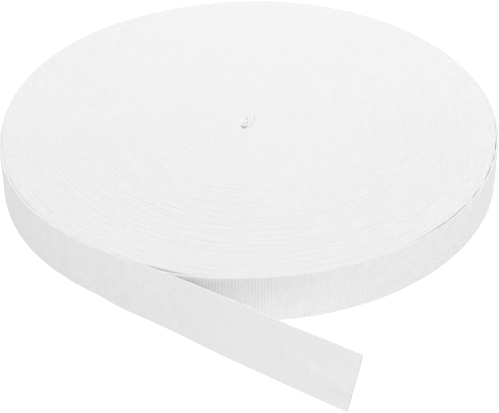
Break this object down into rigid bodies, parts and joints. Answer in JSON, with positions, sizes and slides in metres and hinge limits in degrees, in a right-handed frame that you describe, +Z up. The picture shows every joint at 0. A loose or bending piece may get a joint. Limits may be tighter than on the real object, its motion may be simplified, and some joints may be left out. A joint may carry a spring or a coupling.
{
  "type": "roll of cotton webbing",
  "caption": "Flat roll of narrow white cotton webbing, wound on itself without a core, lying on its side with the outer end pulled loose.",
  "frame": {"origin": "the winding axis at the underside of the roll", "axes": "+Z up along the winding axis, away from the surface that the roll lies on; the loose end leaves the front left of the roll and runs towards +X and -Y"},
  "size_m": [0.2493, 0.3101, 0.0255],
  "materials": {
    "cotton_webbing": "bleached cotton, matt, with fine ribs across the tape"
  },
  "bodies": {
    "root": {"wound_roll": "cotton_webbing", "loose_end": "cotton_webbing"}
  },
  "joints": []
}
